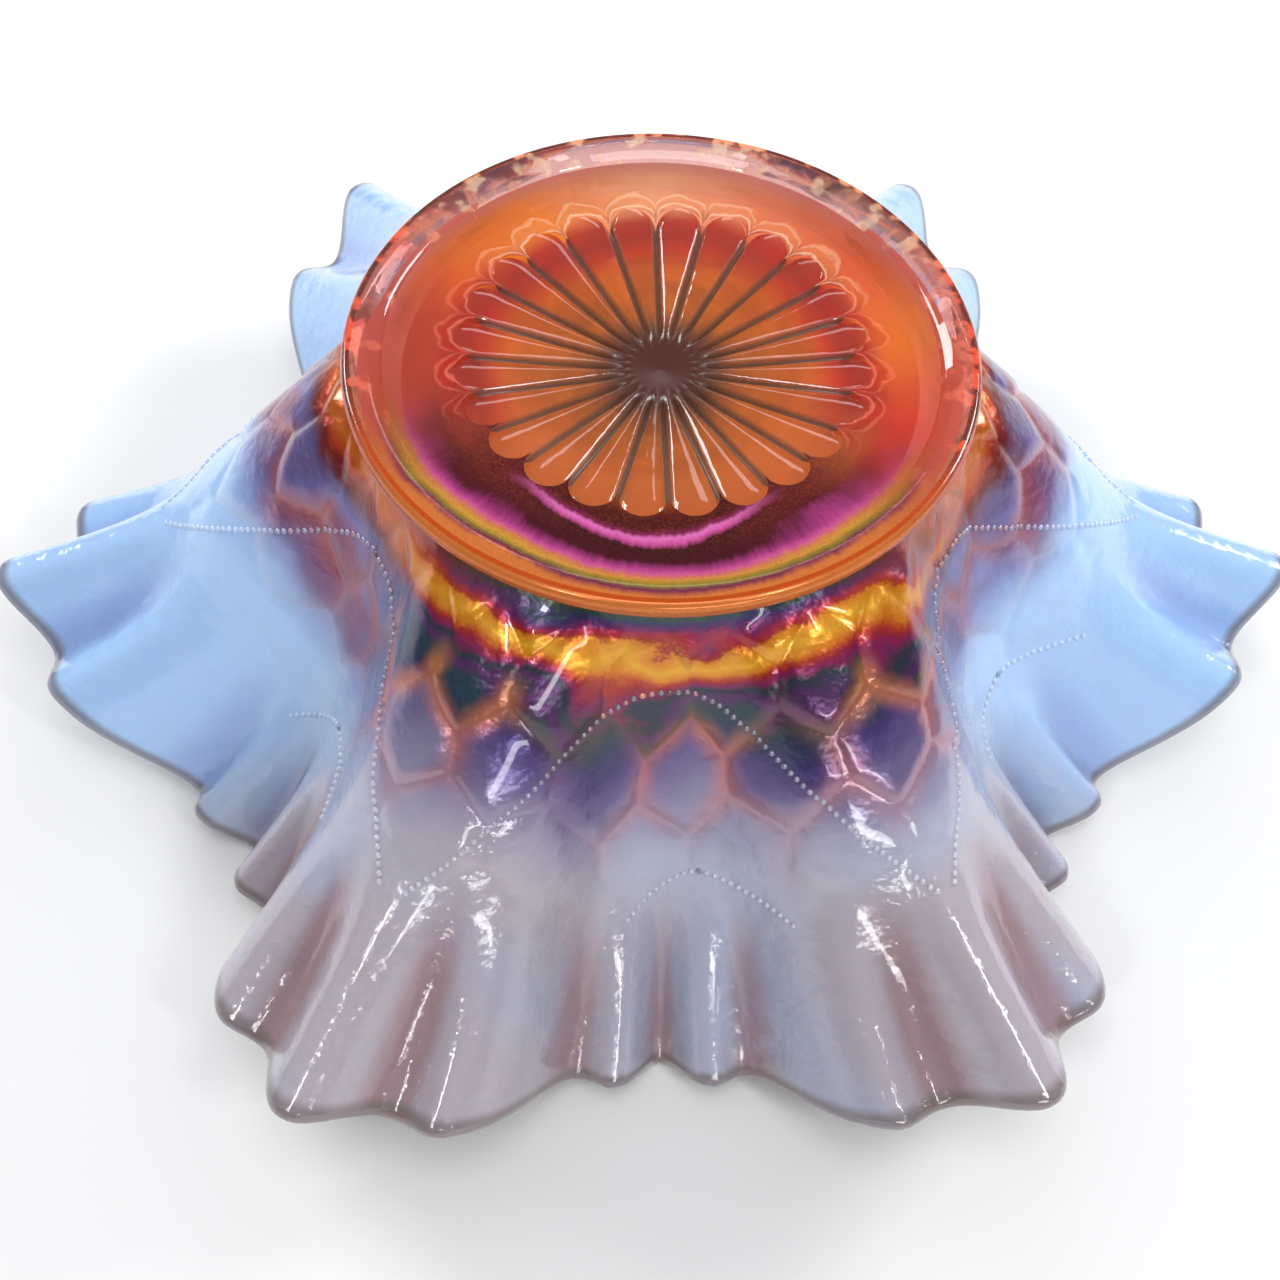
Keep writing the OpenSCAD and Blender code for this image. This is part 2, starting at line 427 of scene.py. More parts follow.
section = [(collar_in, seam_z), (collar_in, ground_z), (inner_edge_r, bowl_h), (foot_r, bowl_h),
           (shoulder_r, shoulder_z), (wall_r, wall_z)]
collar_bm = spin_outline(section, (4, 3, 4, 2, 3, 6), steps=360)
bevel_ring(collar_bm, inner_edge_r, bowl_h, 0.7, 5)
bevel_ring(collar_bm, foot_r, bowl_h, edge_round, 10)
bevel_ring(collar_bm, shoulder_r, shoulder_z, 0.8, 4)
collar = finish_mesh(collar_bm, "collar_glass", sharp=60)
mark_faces(collar.data, lambda x, z: (np.abs(x - collar_in) < touch / 2) | (
    z < joint_height(np.clip(x, collar_in, wall_r)) + touch))
write_points(collar.data, read_points(collar.data))
print("collar faces", len(collar.data.polygons))

# %% [markdown]
# ## The ray star and the ground round it
#
# The star was cut in the mould: 24 rays with round ends, each swelling between V grooves, and
# dished towards a plain button in the middle. Cutting each groove with a boolean would leave a
# poor mesh. So it is spun as a plain disc, then each point is moved out to the scalloped outline
# and down into the grooves. The ground round it uses the same outline as its inner edge, so the
# two meet exactly.

# %% Shape of the star
rays = 24
star_r = 30.0
star_dish = 4.0          # the middle lies this much below the star's edge
groove_w = 1.3
groove_d = 0.5
ray_round = 0.95         # a ray's middle stands this much above its sides
hub_r = 6.0
hub_step = 0.15          # the button stands this much proud
hub_dish = 0.85          # and is this much as steep as the dish round it
end_drop = 0.3           # the star stands this much above the ground, and curves down to it
end_w = 2.4              # over this width
star_edge_z = ground_z + end_drop
hub_z = star_edge_z - star_dish
half_ray = math.pi / rays
ray_end_r = star_r / (1 + 1 / math.sin(half_ray))
centre_r = star_r - ray_end_r


def ray_place(a):
    """Angle from the middle of the nearest ray."""
    return np.mod(a, 2 * half_ray) - half_ray


def star_outline(a):
    """Radius of the scalloped outline, a round end of radius ray_end_r for each ray."""
    off = ray_place(a)
    chord = np.maximum(0, ray_end_r ** 2 - (centre_r * np.sin(off)) ** 2)
    return centre_r * np.cos(off) + np.sqrt(chord)


def star_height(r, a):
    """Height of the star's face: dished, rounded across each ray, with a V groove between rays."""
    plain = lerp(hub_z, star_edge_z, r / star_r)
    hub = hub_z + hub_step + (plain - hub_z) * hub_dish
    q = np.abs(ray_place(a)) / half_ray
    to_groove = (1 - q) * r * half_ray
    # The rays begin under the button's edge and have their full shape a little outside it
    strength = smooth((r - 0.6 * hub_r) / (1.1 * hub_r))
    ray = plain - strength * (ray_round * q ** 2 + groove_d * clamp(1 - to_groove / (groove_w / 2)))
    return lerp(hub, ray, smooth((r - 0.4 * hub_r) / (0.8 * hub_r)))


print(f"each ray ends in a round of radius {ray_end_r:.2f} mm")

# %% [markdown]
# ### Placing the star and the ground
#
# Both are spun over their own u, from their inner edge to their outer edge, and their own depth
# from the face down to the fired floor. Then a function of u, angle and depth places each point.
# Each vertex keeps its distance to the nearest groove and past the outline, for the finishes.

# %% Star and ground
floor_part = 0.8         # the ground's u reaches the floor's edge here, and the collar at 1


def star_point(u, a, depth):
    r = u * star_outline(a)
    end = 1 - clamp((star_outline(a) - r) / end_w)
    return r, lerp(star_height(r, a) - end_drop * end ** 2, floor_z, depth)


def ground_point(u, a, depth):
    past_floor = clamp((u - floor_part) / (1 - floor_part))
    on_floor = lerp(star_outline(a), floor_r, u / floor_part)
    r = np.where(u < floor_part, on_floor, lerp(floor_r, collar_in, past_floor))
    return r, lerp(np.full_like(r, ground_z), lerp(floor_z, seam_z, past_floor), depth)


def base_piece(name, corners, cuts, place, inside):
    """A piece of the base, spun over its own u and depth and then moved to its place."""
    piece = finish_mesh(spin_outline(corners, cuts), name, sharp=40)
    mesh = piece.data
    mark_faces(mesh, inside)
    spun = read_points(mesh)
    a = np.arctan2(spun[:, 1], spun[:, 0])
    u = np.hypot(spun[:, 0], spun[:, 1]) - corners[0][0]
    r, z = place(clamp(u), a, clamp(-spun[:, 2]))
    write_points(mesh, np.stack([r * np.cos(a), r * np.sin(a), z], -1))
    q = np.abs(ray_place(a)) / half_ray
    keep(mesh, "to_groove", (1 - q) * r * half_ray)
    keep(mesh, "past_outline", r - star_outline(a))
    return piece


star = base_piece("ray_star_glass", [(0, 0), (1, 0), (1, -1), (0, -1)], (64, 4, 8, 1), star_point,
                  lambda x, z: np.abs(x - 1) < 2e-3)
ground = base_piece(
    "ground_glass", [(1, 0), (2, 0), (2, -1), (1 + floor_part, -1), (1, -1)], (22, 4, 2, 8, 4), ground_point,
    lambda x, z: (np.abs(x - 1) < 2e-3) | (x > 1 + floor_part) & (z < -0.01))
print("star faces", len(star.data.polygons), "ground faces", len(ground.data.polygons))

# %% [markdown]
# ## Strings of beads
#
# Beaded arches cross the scales, a tall one and a small one over each fold. There are hundreds of
# beads a millimetre across, so each is a small ball of only 80 faces, sunk in the wall, and all of
# them are one piece. They could be scattered with a node group, but then they would be harder to
# place. An arch is a cubic curve in the wall's own terms, walked in steps of the beads' spacing.

# %% Beaded arches
bead_d = 1.05
bead_pitch = 1.25
bead_sink = 0.12         # the middle of a bead lies this far inside the glass
small_turn = math.radians(5)
tall_arch = [(0, 0.14), (14, 0.14), (16, 0.30), (29, 0.64)]        # degrees from the fold, and t
small_arch = [(0, 0.53), (3.5, 0.54), (7, 0.58), (10, 0.65)]


def walk(points, spacing):
    """Places at equal spacing along a line of close points."""
    reach = np.concatenate([[0], np.cumsum(np.linalg.norm(np.diff(points, axis=0), axis=1))])
    return np.interp(np.arange(0, reach[-1], spacing), reach, np.arange(len(points)))


def arch(fold, side, pulls):
    """Angle and t along one leg of an arch over a fold."""
    s = np.linspace(0, 1, 400)
    weights = ((1 - s) ** 3, 3 * s * (1 - s) ** 2, 3 * s * s * (1 - s), s ** 3)
    off = sum(w * p[0] for w, p in zip(weights, pulls))
    t = sum(w * p[1] for w, p in zip(weights, pulls))
    return fold + side * np.radians(off), t


bead_bm = bmesh.new()
bead_down = []
for k in range(lobes):
    fold = (k + 0.5) * FULL_TURN / lobes
    for pulls, turned in ((tall_arch, 0.0), (small_arch, small_turn)):
        for side in (-1, 1):
            a, t = arch(fold + turned, side, pulls)
            out = directions(a, t, rim_lift)[1]
            line = outer(a, t, rim_lift) + relief(a, t)[:, None] * out
            string_bm = bmesh.new()
            for spot in walk(line, bead_pitch):
                j = int(spot)
                bead_down.append(t[j])
                place = Matrix.Translation(Vector(line[j] - out[j] * bead_sink) * MM)
                bmesh.ops.create_icosphere(string_bm, subdivisions=2, radius=bead_d / 2 * MM, matrix=place)
            string = bpy.data.meshes.new("string")
            string_bm.to_mesh(string)
            string_bm.free()
            bead_bm.from_mesh(string)
            bpy.data.meshes.remove(string)

# %% [markdown]
# ### What the beads keep
#
# The beads wear the wall's finish, so they keep the same numbers as the wall: how far down they
# are, a place well inside a scale, and a tone that steps by the golden ratio from bead to bead.
# A mark of their own paints them a little paler than the wall, a painted highlight.

# %% Bead piece
beads = finish_mesh(bead_bm, "bead_strings", sharp=180)
all_points = len(beads.data.vertices)
bead_points = all_points // len(bead_down)
bead_tone = np.mod(np.arange(len(bead_down)) * 0.618, 1)
for field, values in (("down", np.repeat(bead_down, bead_points)), ("scale_gap", np.full(all_points, 3.0)),
                      ("scale_tone", np.repeat(bead_tone, bead_points)), ("bead", np.ones(all_points))):
    keep(beads.data, field, values)
print(len(bead_down), "beads,", len(beads.data.polygons), "faces")

# %% [markdown]
# ## Materials
#
# A colour is written the way a designer picks it, as sRGB hex, and turned to linear light once.
# A node tree could be drawn by hand in the Shader Editor. Written as code, each step has a name
# beside it. One helper adds any node: its settings are named, and its inputs are values,
# colours or the nodes that feed them.

# %% Colour and node helpers
def colour(code):
    """An sRGB hex colour as the linear numbers that a shader takes."""
    channels = [int(code[k:k + 2], 16) / 255 for k in (1, 3, 5)]
    return [c / 12.92 if c <= 0.04045 else ((c + 0.055) / 1.055) ** 2.4 for c in channels] + [1.0]


def add(tree, kind, inputs=(), stops=(), **settings):
    """Adds one node. Its inputs come in order or by name: numbers, hex colours, nodes or outputs."""
    node = tree.nodes.new("ShaderNode" + kind)
    for name, value in settings.items():
        setattr(node, name, value)
    if isinstance(inputs, dict):
        pairs = [(node.inputs[name], value) for name, value in inputs.items()]
    else:
        # A node such as Mix has sockets for each kind of data, and enables those in use
        pairs = list(zip([socket for socket in node.inputs if socket.enabled], inputs))
    for socket, value in pairs:
        if isinstance(value, bpy.types.Node):
            value = next(output for output in value.outputs if output.enabled)
        if isinstance(value, bpy.types.NodeSocket):
            tree.links.new(value, socket)
        else:
            socket.default_value = colour(value) if isinstance(value, str) else value
    if stops:
        elements = node.color_ramp.elements
        while len(elements) < len(stops):
            elements.new(0.5)
        for element, (place, code) in zip(elements, stops):
            element.position = place
            element.color = colour(code)
    return node


def new_material(name):
    """An empty material and its node tree."""
    material = bpy.data.materials.new(name)
    material.use_nodes = True
    material.node_tree.nodes.clear()
    return material, material.node_tree


SMOOTH = {"interpolation_type": "SMOOTHSTEP"}
COLOURS = {"data_type": "RGBA"}

# %% [markdown]
# ### The fired film: how thick it is
#
# Carnival glass is pressed glass sprayed with metal salts while it is hot. They fire to an oxide
# film a few hundred nanometres thick. The light from its two faces interferes, so its colour
# follows its thickness through gold, crimson, violet, blue and green, and again. The shader could
# simulate a thin film, but these colours follow how the spray fell. So one number stands for the
# thickness. It grows down the wall, and the tilt of each scale and the clouds of the spray shift
# it. Close under the collar, where the wall was sheltered, it runs in clean lines. The film's own
# grain is too fine to show, so it is drawn half a millimetre wide.

# %% Film thickness
wall_glass, tree = new_material("marigold carnival glass over opal")
where = add(tree, "TexCoord").outputs["Object"]
down, gap, tone, place, furrow, bead = [
    add(tree, "Attribute", attribute_name=name).outputs["Fac"]
    for name in ("down", "scale_gap", "scale_tone", "scale_place", "furrow", "bead")]
regions, clouds, streaks, ripples, grain = [
    add(tree, "TexNoise", {"Vector": where, "Scale": 1 / (size * MM), "Detail": detail})
    for size, detail in ((27, 0.0), (18, 2.0), (6, 3.0), (6, 3.5), (0.5, 1.0))]

by_tone = add(tree, "Math", [tone, 0.10], operation="MULTIPLY")
by_place = add(tree, "Math", [place, 0.25 * scale_row], operation="MULTIPLY")
tilt = add(tree, "Math", [by_tone, by_place], operation="SUBTRACT")
in_scales = add(tree, "MapRange", [down, 0.08, 0.16], **SMOOTH)
film = add(tree, "Math", [tilt, in_scales], operation="MULTIPLY")
for noise, spread in ((regions, 0.18), (clouds, 0.26), (streaks, 0.05)):
    drift = add(tree, "MapRange", [noise, 0, 1, -spread / 2, spread / 2])
    film = add(tree, "Math", [film, drift], operation="ADD")
past_shelter = add(tree, "MapRange", [down, 0.015, 0.065], **SMOOTH)
film = add(tree, "Math", [film, past_shelter], operation="MULTIPLY")
for noise, spread in ((streaks, 0.025), (grain, 0.018)):
    drift = add(tree, "MapRange", [noise, 0, 1, -spread / 2, spread / 2])
    film = add(tree, "Math", [film, drift], operation="ADD")
film = add(tree, "Math", [film, down], operation="ADD")
print("film nodes", len(tree.nodes))

# %% [markdown]
# ### The fired film: its colours
#
# Two colour ramps read the thickness. At the front and the back the film goes through its
# whole rainbow, and at the sides it stays orange, then lilac. The borders of the scales are seen
# edge on, so they show the orange of the glass itself. They are softened by the streaks, and fade
# out in some regions and at the sides.

# %% Film colours
from_side = add(tree, "SeparateXYZ", [where]).outputs["Y"]
aside = add(tree, "Math", [from_side], operation="ABSOLUTE")
rainbow = add(tree, "ValToRGB", [film], stops=[
    (0.000, "#4A3C10"), (0.010, "#0E3C30"), (0.021, "#2A1458"), (0.032, "#64084E"), (0.044, "#980C30"),
    (0.054, "#961C04"), (0.063, "#CC7804"), (0.092, "#D89C1C"), (0.122, "#CC7406"), (0.142, "#A83004"),
    (0.158, "#8C0A24"), (0.176, "#74084E"), (0.196, "#0C2A32"), (0.222, "#4C1A56"), (0.250, "#14363E"),
    (0.290, "#242E4C"), (0.330, "#40306C"), (0.390, "#5C4E80"), (0.500, "#86809E")])
side_film = add(tree, "ValToRGB", [film], stops=[
    (0.000, "#8A2800"), (0.030, "#B04A00"), (0.060, "#B85C00"), (0.095, "#A83400"), (0.125, "#741000"),
    (0.150, "#6A1E24"), (0.190, "#5C4C78"), (0.250, "#665E98"), (0.300, "#803A5C"), (0.360, "#685080"),
    (0.430, "#7884BA")])
facing = add(tree, "MapRange", [aside, 20 * MM, 44 * MM], **SMOOTH)
fired = add(tree, "Mix", [facing, side_film, rainbow], **COLOURS)

blur = add(tree, "Math", [streaks, 2.4], operation="MULTIPLY")
soft_gap = add(tree, "Math", [gap, blur], operation="ADD")
border = add(tree, "MapRange", [soft_gap, 1.0, 4.4, 1.0, 0.0], **SMOOTH)
for reading, low, high, least, most in (
        (down, 0.12, 0.19, 0.0, 1.0), (regions, 0.38, 0.58, 0.12, 0.8), (aside, 20 * MM, 44 * MM, 0.45, 1.0)):
    share = add(tree, "MapRange", [reading, low, high, least, most], **SMOOTH)
    border = add(tree, "Math", [border, share], operation="MULTIPLY")
border_colour = add(tree, "ValToRGB", [down], stops=[
    (0.12, "#CC8A38"), (0.20, "#C07040"), (0.30, "#B86A60"), (0.42, "#A07C8C")])
fired = add(tree, "Mix", [border, fired, border_colour], **COLOURS)
for ramp in (rainbow, side_film, border_colour):
    print("colour ramp with", len(ramp.color_ramp.elements), "stops")

# %% [markdown]
# ### The milky opal
#
# Peach opalescent glass strikes milky where it cools slowly. The milk scatters blue light back
# and lets warm light through, so it is blue where the lamps fall on it. The front lobes lie in
# shadow, so their mauve and grey is painted shade, and so is the brown in the furrows. Real
# scattering would need a volume in thin glass, which renders slowly and doesn't export. So the
# colours, lit and shaded, are painted by place, and a little subsurface scattering softens
# them. Along the very edge the milk gives way to the grey body of the glass.

# %% Milk
# Painted shade: towards the front, which lies in shadow, the milk turns mauve and grey
shaded_front = add(tree, "MapRange", [from_side, -46 * MM, -22 * MM, 1.0, 0.0], **SMOOTH)
cool_patch = add(tree, "MapRange", [regions, 0.45, 0.75], **SMOOTH)
shaded_front_milk = add(tree, "Mix", [cool_patch, "#A69EA8", "#A2A6BA"], **COLOURS)
crest_milk = add(tree, "Mix", [shaded_front, "#A2C4EC", shaded_front_milk], **COLOURS)
# Painted shade in the furrows: a deeper blue at the sides and brown at the front
shaded_furrow_milk = add(tree, "Mix", [shaded_front, "#8AA2D8", "#8C686C"], **COLOURS)
furrow_shade = add(tree, "MapRange", [furrow, 0.0, 0.9, 0.0, 0.7], **SMOOTH)
milk = add(tree, "Mix", [furrow_shade, crest_milk, shaded_furrow_milk], **COLOURS)

patches = add(tree, "MapRange", [clouds, 0, 1, -0.10, 0.10])
milk_start = add(tree, "MapRange", [aside, 20 * MM, 44 * MM, 0.33, 0.42], **SMOOTH)
past_start = add(tree, "Math", [down, patches], operation="ADD")
past_start = add(tree, "Math", [past_start, milk_start], operation="SUBTRACT")
milky = add(tree, "MapRange", [past_start, -0.04, 0.14], **SMOOTH)
glass = add(tree, "Mix", [milky, fired, milk], **COLOURS)
at_edge = add(tree, "MapRange", [down, 0.978, 0.998, 0.0, 0.75], **SMOOTH)
glass = add(tree, "Mix", [at_edge, glass, "#6B615E"], **COLOURS)
# Painted highlight: the beads are mixed a quarter of the way to near-white
bead_glint = add(tree, "Math", [bead, 0.25], operation="MULTIPLY")
glass = add(tree, "Mix", [bead_glint, glass, "#E6E2EA"], **COLOURS)
print("nodes with the milk", len(tree.nodes))

# %% [markdown]
# ### The surface of the wall
#
# Fire-polished glass is very smooth and slightly wavy, which breaks each lamp into crisp pieces:
# that is the clear coat over slow ripples. Under it the metal of the film gives a satin glow,
# which ends where the milk begins.

# %% Surface
metal = add(tree, "MapRange", [past_start, -0.1, 0.08, 0.40, 0.0], **SMOOTH)
satin = add(tree, "MapRange", [past_start, -0.1, 0.1, 0.28, 0.16], **SMOOTH)
depth_glow = add(tree, "MapRange", [down, 0.55, 0.75, 0.0, 0.35], **SMOOTH)
grain_bump = add(tree, "Bump", {"Height": grain, "Strength": 0.1, "Distance": 0.05 * MM})
ripple_bump = add(tree, "Bump", {
    "Height": ripples, "Strength": 0.8, "Distance": 0.9 * MM, "Normal": grain_bump})
shader = add(tree, "BsdfPrincipled", {
    "Base Color": glass, "Metallic": metal, "Roughness": satin, "IOR": 1.52, "Normal": ripple_bump,
    "Subsurface Weight": depth_glow, "Subsurface Scale": 4 * MM,
    "Coat Weight": 0.6, "Coat Roughness": 0.03, "Coat IOR": 1.42})
add(tree, "OutputMaterial", {"Surface": shader})
print("carnival glass nodes", len(tree.nodes))

# %% [markdown]
# ### Clear marigold glass
#
# The base is thick and clear, so it is real refracting glass over a painted lining, the fired
# floor of the bowl. It could be opaque with a painted look, but then nothing would shift behind
# the lip as it turns. Refracting glass casts a hard black shadow in a path tracer, so lamp light
# is let straight through with a Light Path switch.

# %% Clear glass helpers
def clear_glass(name, tint, clarity):
    """The start of a clear glass: its material, tree, place on the object, body and waves."""
    material, tree = new_material(name)
    where = add(tree, "TexCoord").outputs["Object"]
    ripples = add(tree, "TexNoise", {"Vector": where, "Scale": 1 / (5 * MM), "Detail": 2.0})
    bump = add(tree, "Bump", {"Height": ripples, "Strength": 0.25, "Distance": 0.3 * MM})
    body = add(tree, "BsdfPrincipled", {
        "Base Color": tint, "Roughness": 0.02, "IOR": 1.5, "Transmission Weight": clarity, "Normal": bump})
    return material, tree, where, body, bump


def let_light_through(tree, surface, shadow_tint):
    """The end of a clear glass: the surface for the eye, a pale tint for lamp light."""
    shadow = add(tree, "BsdfTransparent", {"Color": shadow_tint})
    is_shadow = add(tree, "LightPath").outputs["Is Shadow Ray"]
    add(tree, "OutputMaterial", {"Surface": add(tree, "MixShader", [is_shadow, surface, shadow])})


def polar(tree, where):
    """Distance from the bowl's middle line, and the angle round it, 0 at the front and pi at the back."""
    axes = add(tree, "SeparateXYZ", [where])
    flat = add(tree, "CombineXYZ", {"X": axes.outputs["X"], "Y": axes.outputs["Y"]})
    radius = add(tree, "VectorMath", [flat], operation="LENGTH")
    forward = add(tree, "Math", [axes.outputs["Y"], -1.0], operation="MULTIPLY")
    return radius, add(tree, "Math", [axes.outputs["X"], forward], operation="ARCTAN2")


# %% [markdown]
# ### The pressed star
#
# Its rays are clear glass. The V grooves between them bend the light away from the eye, and so
# does the button in the middle, so both look dark: brown-grey lines that fade into a maroon hub.
# They are mixed in as a duller brown, read from each point's distance to the nearest groove.

# %% Star glass
star_glass, tree, where, body, bump = clear_glass("pressed star glass", "#FBEADA", 1.0)
radius = polar(tree, where)[0]
to_groove = add(tree, "Attribute", attribute_name="to_groove").outputs["Fac"]
line = add(tree, "MapRange", [to_groove, 0.15, 0.95, 0.85, 0.0], **SMOOTH)
hub = add(tree, "MapRange", [radius, 5 * MM, 11 * MM, 0.95, 0.0], **SMOOTH)
dark = add(tree, "Math", [line, hub], operation="MAXIMUM")
dark_colour = add(tree, "Mix", [hub, "#54443A", "#44140C"], **COLOURS)
shaded = add(tree, "BsdfPrincipled", {
    "Base Color": dark_colour, "Roughness": 0.3, "IOR": 1.5, "Normal": bump})
let_light_through(tree, add(tree, "MixShader", [dark, body, shaded]), "#B4A89E")
print("star glass nodes", len(tree.nodes))

# %% [markdown]
# ### Red waves and the film's painted reflection
#
# Round the star its scalloped end is seen again through the thick glass, as wavy red lines at
# the sides and pale ones at the back. Refraction makes them in the real glass, but here they are
# a sine of the distance past the star's outline, bent by noise. At the front the fired film on
# the ground and the collar shows wine, magenta, gold and olive bands with fine strokes across
# them. Those bands are the film's reflection painted in, only at the front, and a pale magenta
# band among them is a painted highlight. They follow the distance from the middle, so a colour
# ramp reads that distance.

# %% Waves and spray
front_turn = 0.12     # from the front to the middle of the spray, in radians
wave_pitch = 2.2      # from one red line to the next, in mm
stroke_w = 0.7        # spacing and length of the fine strokes, in mm, at stroke_r from the middle
stroke_l = 9
stroke_r = 35


def red_waves(tree, where, surface, bump):
    """Mixes wavy lines over the surface just outside the star."""
    past = add(tree, "Attribute", attribute_name="past_outline").outputs["Fac"]
    wobble = add(tree, "TexNoise", {"Vector": where, "Scale": 1 / (4 * MM), "Detail": 2.0})
    turn = add(tree, "Math", [polar(tree, where)[1], front_turn], operation="ADD")
    aside = add(tree, "Math", [turn], operation="ABSOLUTE")
    past = add(tree, "Math", [past, add(tree, "MapRange", [wobble, 0, 1, -2.0, 2.0])], operation="ADD")
    crest = add(tree, "Math", [past, FULL_TURN / wave_pitch], operation="MULTIPLY")
    crest = add(tree, "Math", [crest], operation="SINE")
    crest = add(tree, "MapRange", [crest, 0.1, 0.9], **SMOOTH)
    behind = add(tree, "MapRange", [aside, 1.9, 2.3], **SMOOTH)
    trough_colour = add(tree, "Mix", [behind, "#A81C0C", "#D08048"], **COLOURS)
    crest_colour = add(tree, "Mix", [behind, "#F07C60", "#F4D2AC"], **COLOURS)
    red = add(tree, "Mix", [crest, trough_colour, crest_colour], **COLOURS)
    # The lines have faded 4 mm past the outline, and stay away from the front
    near = add(tree, "MapRange", [past, 0.1, 0.6], **SMOOTH)
    for reading, low, high, least, most in ((past, 1.6, 4.0, 0.4, 0.0), (aside, 0.9, 1.3, 0.0, 1.0)):
        share = add(tree, "MapRange", [reading, low, high, least, most], **SMOOTH)
        near = add(tree, "Math", [near, share], operation="MULTIPLY")
    lines = add(tree, "BsdfPrincipled", {"Base Color": red, "Roughness": 0.1, "Normal": bump})
    return add(tree, "MixShader", [near, surface, lines])


def film_with_painted_reflection(tree, where, surface, bump):
    """Mixes the film's painted reflection, with a painted highlight, over the front of the surface."""
    radius, turn = polar(tree, where)
    # The grain of the film is finer than this, but 0.4 mm is what shows
    grain = add(tree, "TexNoise", {"Vector": where, "Scale": 1 / (0.4 * MM), "Detail": 1.0})
    wander = add(tree, "TexNoise", {"Vector": where, "Scale": 1 / (16 * MM), "Detail": 4.0})
    across = add(tree, "Math", [turn, stroke_r / stroke_w], operation="MULTIPLY")
    along = add(tree, "Math", [radius, 1 / (stroke_l * MM)], operation="MULTIPLY")
    stroke_place = add(tree, "CombineXYZ", [across, along])
    strokes = add(tree, "TexNoise", {"Vector": stroke_place, "Scale": 1.0, "Detail": 2.0})
    turned = add(tree, "Math", [turn, front_turn], operation="ADD")
    aside = add(tree, "Math", [turned], operation="ABSOLUTE")
    # Away from the very front the bands lie closer to the middle, less so on the lip
    closer = add(tree, "MapRange", [aside, 0.0, 0.6, 0.0, 3.4 * MM], **SMOOTH)
    on_ground = add(tree, "MapRange", [radius, 33 * MM, 38 * MM, 1.0, 0.2], **SMOOTH)
    shifted = add(tree, "Math", [closer, on_ground], operation="MULTIPLY")
    shifted = add(tree, "Math", [shifted, radius], operation="ADD")
    for noise, spread in ((wander, 4 * MM), (strokes, 0.8 * MM)):
        drift = add(tree, "MapRange", [noise, 0, 1, -spread / 2, spread / 2])
        shifted = add(tree, "Math", [shifted, drift], operation="ADD")
    # Painted reflection: these bands stand in for what the film reflects at the front, and the pale magenta
    # at 0.37 is a painted highlight
    bands = add(tree, "ValToRGB", [add(tree, "MapRange", [shifted, 27 * MM, 45 * MM])], stops=[
        (0.00, "#98481A"), (0.10, "#742A10"), (0.18, "#44060A"), (0.29, "#40060E"), (0.34, "#7A1E4C"),
        (0.37, "#E070BC"), (0.41, "#C85098"), (0.45, "#360810"), (0.57, "#480C18"), (0.63, "#A83A7C"),
        (0.67, "#CC5690"), (0.71, "#D07A4C"), (0.76, "#D09A30"), (0.83, "#84782C"), (0.88, "#702048"),
        (0.94, "#D07434")])
    # Away from the very front the inner magenta band sinks into the wine
    wine = add(tree, "MapRange", [aside, 0.30, 0.70], **SMOOTH)
    inner = add(tree, "MapRange", [shifted, 36 * MM, 38 * MM, 1.0, 0.0], **SMOOTH)
    wine = add(tree, "Math", [wine, inner], operation="MULTIPLY")
    painted_film_colour = add(tree, "Mix", [wine, bands, "#561218"], **COLOURS)
    # The painted reflection covers the front only
    front = add(tree, "MapRange", [aside, 0.70, 1.30, 1.0, 0.0], **SMOOTH)
    cover = add(tree, "MapRange", [grain, 0.3, 0.6, 0.8, 0.95], **SMOOTH)
    cover = add(tree, "Math", [front, cover], operation="MULTIPLY")
    sheen = add(tree, "BsdfPrincipled", {
        "Base Color": painted_film_colour, "Metallic": 0.3, "Roughness": 0.22, "Specular IOR Level": 0.3,
        "Normal": bump})
    return add(tree, "MixShader", [cover, surface, sheen])


# %% [markdown]
# ### The glass of the collar and the ground
#
# Both are the same pressed glass under the same spray, so one loop makes them: a clear body,
# then the waves, then the film's painted reflection. The thick collar is tinted deeper, a dusky pink.

# %% Collar glass and ground glass
foot_glass = {}
for name, tint, clarity, shadow_tint in (("clear marigold glass", "#D8A4A0", 0.95, "#D8C8BC"),
                                         ("sprayed ground glass", "#FBE6D6", 1.0, "#A89C92")):
    foot_glass[name], tree, where, surface, bump = clear_glass(name, tint, clarity)
    surface = red_waves(tree, where, surface, bump)
    surface = film_with_painted_reflection(tree, where, surface, bump)
    let_light_through(tree, surface, shadow_tint)
print("ground glass nodes", len(tree.nodes))

# %% [markdown]
# ### The lining under the clear base
#
# Through the clear base the eye meets the fired floor of the bowl: orange under the star, with a
# red rim at its sides and back. Under the ground its colour changes round the bowl, from peach at
# the back through gold and brick red to deep wine at the front. It is one opaque satin surface
# with two colour ramps, one along the distance from the middle and one round the angle.

# %% Fired lining
lining, tree = new_material("fired marigold lining")
where = add(tree, "TexCoord").outputs["Object"]
radius, turn = polar(tree, where)
aside = add(tree, "Math", [turn], operation="ABSOLUTE")
clouds = add(tree, "TexNoise", {"Vector": where, "Scale": 1 / (14 * MM), "Detail": 3.0})
fleck = add(tree, "TexNoise", {"Vector": where, "Scale": 1 / (4 * MM), "Detail": 3.0})
out_drift = add(tree, "MapRange", [clouds, 0, 1, -2.5 * MM, 2.5 * MM])
out_place = add(tree, "Math", [radius, out_drift], operation="ADD")
out_place = add(tree, "Math", [out_place, foot_r * MM], operation="DIVIDE")
under_star = add(tree, "ValToRGB", [out_place], stops=[
    (0.00, "#5A2A16"), (0.16, "#80460C"), (0.28, "#C87008"), (0.48, "#D06804"), (0.56, "#C03000"),
    (0.61, "#A81000"), (0.68, "#B01C00")])
